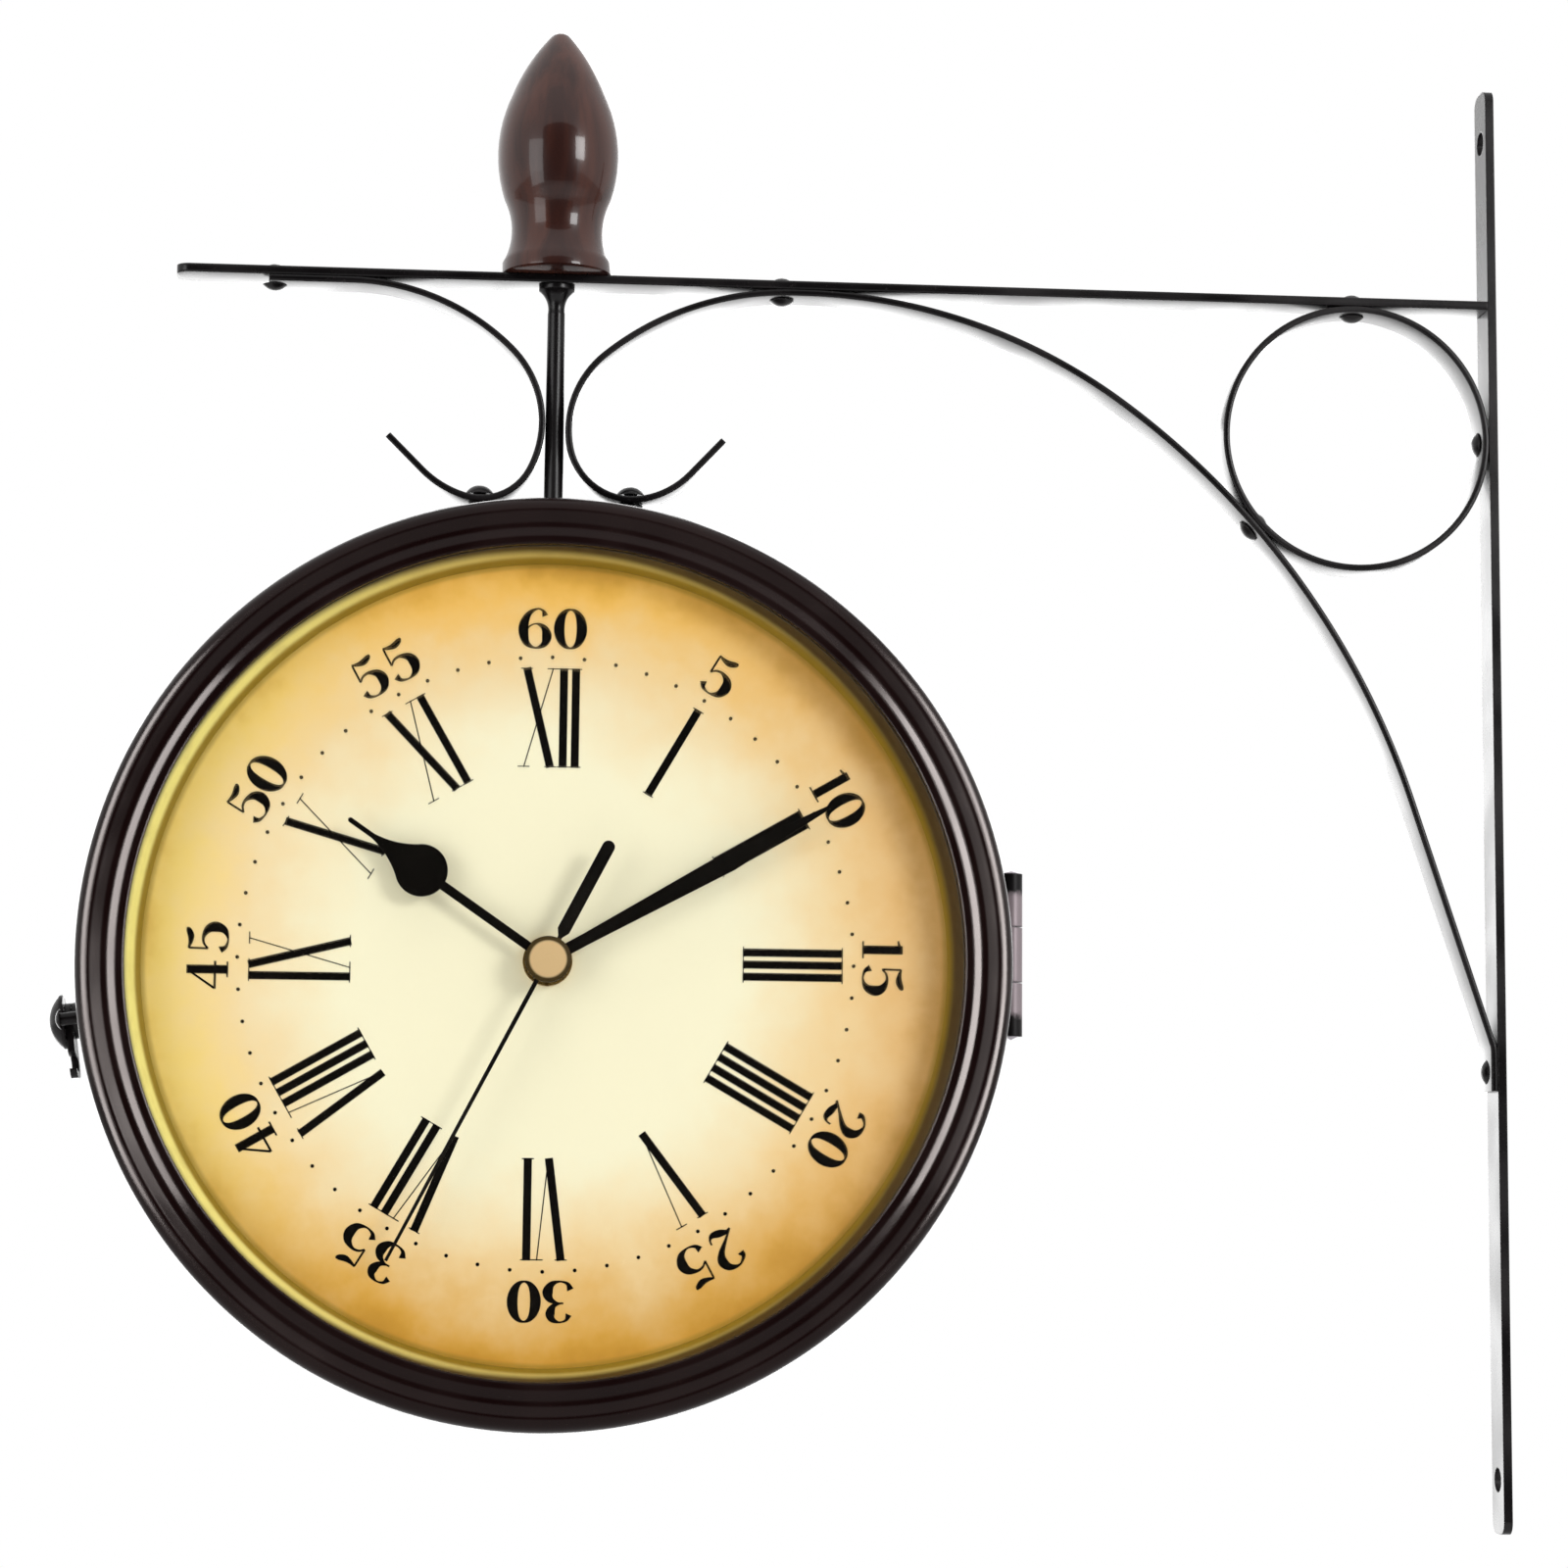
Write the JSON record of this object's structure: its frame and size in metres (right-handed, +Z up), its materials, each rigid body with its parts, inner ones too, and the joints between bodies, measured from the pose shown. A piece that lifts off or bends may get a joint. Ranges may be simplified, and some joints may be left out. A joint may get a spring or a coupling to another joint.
{
  "type": "double sided station clock",
  "caption": "Round two-faced clock with dark bezels and cream dials, hung under a wrought flat-bar wall bracket with scrolls, a ring and a turned finial.",
  "frame": {"origin": "on the wall, midway between the bracket's two wall screws", "axes": "+X into the wall, +Z up, the front face looks along -Y"},
  "size_m": [0.3266, 0.076, 0.341],
  "materials": {
    "bracket_black": "satin black",
    "finial_brown": "gloss brown lacquer",
    "zinc_steel": "zinc plated",
    "case_black": "gloss black",
    "bezel_brown": "gloss dark brown",
    "clear_glass": "clear",
    "reveal_cream": "satin pale yellow",
    "dial_cream": "printed, satin",
    "movement_plastic": "moulded black",
    "neck_brass": "turned",
    "battery_wrap": "printed wrap",
    "coil_copper": "enamelled copper wire",
    "wheel_plastic": "moulded natural",
    "hand_black": "satin black"
  },
  "bodies": {
    "bracket_and_drum": {"wall_bar": "bracket_black", "top_bar": "bracket_black", "arch_brace": "bracket_black", "left_scroll": "bracket_black", "ring": "bracket_black", "bracket_rivets": "bracket_black", "stem_tube": "bracket_black", "scroll_screws": "bracket_black", "finial": "finial_brown", "tie_rod": "zinc_steel", "inner_nuts": "zinc_steel", "hinge_leaf_fixed": "zinc_steel", "hinge_pin": "zinc_steel", "rear_bezel_screws": "zinc_steel", "drum": "case_black", "latch_plate": "case_black", "latch_rivet": "case_black", "rear_bezel": "bezel_brown", "rear_glass": "clear_glass", "rear_reveal_ring": "reveal_cream", "rear_dial": "dial_cream", "rear_movement_case": "movement_plastic", "rear_movement_back": "movement_plastic", "rear_neck_nut": "neck_brass", "rear_battery": "battery_wrap", "rear_motor_coil": "coil_copper"},
    "front_door": {"hinge_leaf_door": "zinc_steel", "latch_stud": "case_black", "front_bezel": "bezel_brown", "front_glass": "clear_glass", "front_reveal_ring": "reveal_cream", "front_dial": "dial_cream", "front_movement_case": "movement_plastic", "front_movement_back": "movement_plastic", "front_neck_nut": "neck_brass", "front_battery": "battery_wrap", "front_motor_coil": "coil_copper"},
    "latch": {"latch_hook": "case_black"},
    "front_second_arbor": {"front_second_wheel": "wheel_plastic", "front_second_hand": "hand_black"},
    "front_minute_arbor": {"front_centre_wheel": "wheel_plastic", "front_minute_hand": "hand_black"},
    "front_hour_arbor": {"front_hour_wheel": "wheel_plastic", "front_hour_hand": "hand_black"},
    "front_third_wheel_arbor": {"front_third_wheel": "wheel_plastic"},
    "front_minute_wheel_arbor": {"front_minute_wheel": "wheel_plastic"},
    "front_set_knob_arbor": {"front_set_knob": "movement_plastic"},
    "front_intermediate_wheel_arbor": {"front_intermediate_wheel": "wheel_plastic"},
    "front_rotor_arbor": {"front_rotor": "wheel_plastic"},
    "rear_second_arbor": {"rear_second_wheel": "wheel_plastic", "rear_second_hand": "hand_black"},
    "rear_minute_arbor": {"rear_centre_wheel": "wheel_plastic", "rear_minute_hand": "hand_black"},
    "rear_hour_arbor": {"rear_hour_wheel": "wheel_plastic", "rear_hour_hand": "hand_black"},
    "rear_third_wheel_arbor": {"rear_third_wheel": "wheel_plastic"},
    "rear_minute_wheel_arbor": {"rear_minute_wheel": "wheel_plastic"},
    "rear_set_knob_arbor": {"rear_set_knob": "movement_plastic"},
    "rear_intermediate_wheel_arbor": {"rear_intermediate_wheel": "wheel_plastic"},
    "rear_rotor_arbor": {"rear_rotor": "wheel_plastic"}
  },
  "joints": [
    {"name": "front_door_hinge", "type": "hinge", "parent": "bracket_and_drum", "child": "front_door", "pos_m": [-0.1159, -0.02, -0.0396], "axis": [0, 0, 1], "range_deg": [0, 110]},
    {"name": "latch_hook_pivot", "type": "hinge", "parent": "bracket_and_drum", "child": "latch", "pos_m": [-0.31762, -0.014, -0.05623], "axis": [-0.9912, 0, -0.1323], "range_deg": [0, 90]},
    {"name": "front_second_turn", "type": "hinge", "parent": "front_door", "child": "front_second_arbor", "pos_m": [-0.2185, 0, -0.043], "axis": [0, 1, 0], "continuous": true},
    {"name": "front_minute_turn", "type": "hinge", "parent": "front_door", "child": "front_minute_arbor", "pos_m": [-0.2185, 0, -0.043], "axis": [0, 1, 0], "continuous": true},
    {"name": "front_hour_turn", "type": "hinge", "parent": "front_door", "child": "front_hour_arbor", "pos_m": [-0.2185, 0, -0.043], "axis": [0, 1, 0], "continuous": true},
    {"name": "front_third_wheel_turn", "type": "hinge", "parent": "front_door", "child": "front_third_wheel_arbor", "pos_m": [-0.20968, 0, -0.0356], "axis": [0, 1, 0], "continuous": true},
    {"name": "front_minute_wheel_turn", "type": "hinge", "parent": "front_door", "child": "front_minute_wheel_arbor", "pos_m": [-0.22546, 0, -0.04625], "axis": [0, 1, 0], "continuous": true},
    {"name": "front_set_knob_turn", "type": "hinge", "parent": "front_door", "child": "front_set_knob_arbor", "pos_m": [-0.23311, 0, -0.04691], "axis": [0, 1, 0], "continuous": true},
    {"name": "front_intermediate_wheel_turn", "type": "hinge", "parent": "front_door", "child": "front_intermediate_wheel_arbor", "pos_m": [-0.2282, 0, -0.0374], "axis": [0, 1, 0], "continuous": true},
    {"name": "front_rotor_turn", "type": "hinge", "parent": "front_door", "child": "front_rotor_arbor", "pos_m": [-0.23485, 0, -0.03356], "axis": [0, 1, 0], "continuous": true},
    {"name": "rear_second_turn", "type": "hinge", "parent": "bracket_and_drum", "child": "rear_second_arbor", "pos_m": [-0.2185, 0, -0.043], "axis": [0, -1, 0], "continuous": true},
    {"name": "rear_minute_turn", "type": "hinge", "parent": "bracket_and_drum", "child": "rear_minute_arbor", "pos_m": [-0.2185, 0, -0.043], "axis": [0, -1, 0], "continuous": true},
    {"name": "rear_hour_turn", "type": "hinge", "parent": "bracket_and_drum", "child": "rear_hour_arbor", "pos_m": [-0.2185, 0, -0.043], "axis": [0, -1, 0], "continuous": true},
    {"name": "rear_third_wheel_turn", "type": "hinge", "parent": "bracket_and_drum", "child": "rear_third_wheel_arbor", "pos_m": [-0.22732, 0, -0.0356], "axis": [0, -1, 0], "continuous": true},
    {"name": "rear_minute_wheel_turn", "type": "hinge", "parent": "bracket_and_drum", "child": "rear_minute_wheel_arbor", "pos_m": [-0.21154, 0, -0.04625], "axis": [0, -1, 0], "continuous": true},
    {"name": "rear_set_knob_turn", "type": "hinge", "parent": "bracket_and_drum", "child": "rear_set_knob_arbor", "pos_m": [-0.20389, 0, -0.04691], "axis": [0, -1, 0], "continuous": true},
    {"name": "rear_intermediate_wheel_turn", "type": "hinge", "parent": "bracket_and_drum", "child": "rear_intermediate_wheel_arbor", "pos_m": [-0.2088, 0, -0.0374], "axis": [0, -1, 0], "continuous": true},
    {"name": "rear_rotor_turn", "type": "hinge", "parent": "bracket_and_drum", "child": "rear_rotor_arbor", "pos_m": [-0.20215, 0, -0.03356], "axis": [0, -1, 0], "continuous": true}
  ],
  "couplings": [
    {"joint": "front_minute_turn", "follows": "front_second_turn", "ratio": 0.016667},
    {"joint": "front_hour_turn", "follows": "front_second_turn", "ratio": 0.0013889},
    {"joint": "front_third_wheel_turn", "follows": "front_second_turn", "ratio": -0.125},
    {"joint": "front_minute_wheel_turn", "follows": "front_second_turn", "ratio": -0.0055556},
    {"joint": "front_set_knob_turn", "follows": "front_second_turn", "ratio": 0.016667},
    {"joint": "front_intermediate_wheel_turn", "follows": "front_second_turn", "ratio": -6},
    {"joint": "front_rotor_turn", "follows": "front_second_turn", "ratio": 30},
    {"joint": "rear_minute_turn", "follows": "rear_second_turn", "ratio": 0.016667},
    {"joint": "rear_hour_turn", "follows": "rear_second_turn", "ratio": 0.0013889},
    {"joint": "rear_third_wheel_turn", "follows": "rear_second_turn", "ratio": -0.125},
    {"joint": "rear_minute_wheel_turn", "follows": "rear_second_turn", "ratio": -0.0055556},
    {"joint": "rear_set_knob_turn", "follows": "rear_second_turn", "ratio": 0.016667},
    {"joint": "rear_intermediate_wheel_turn", "follows": "rear_second_turn", "ratio": -6},
    {"joint": "rear_rotor_turn", "follows": "rear_second_turn", "ratio": 30}
  ]
}
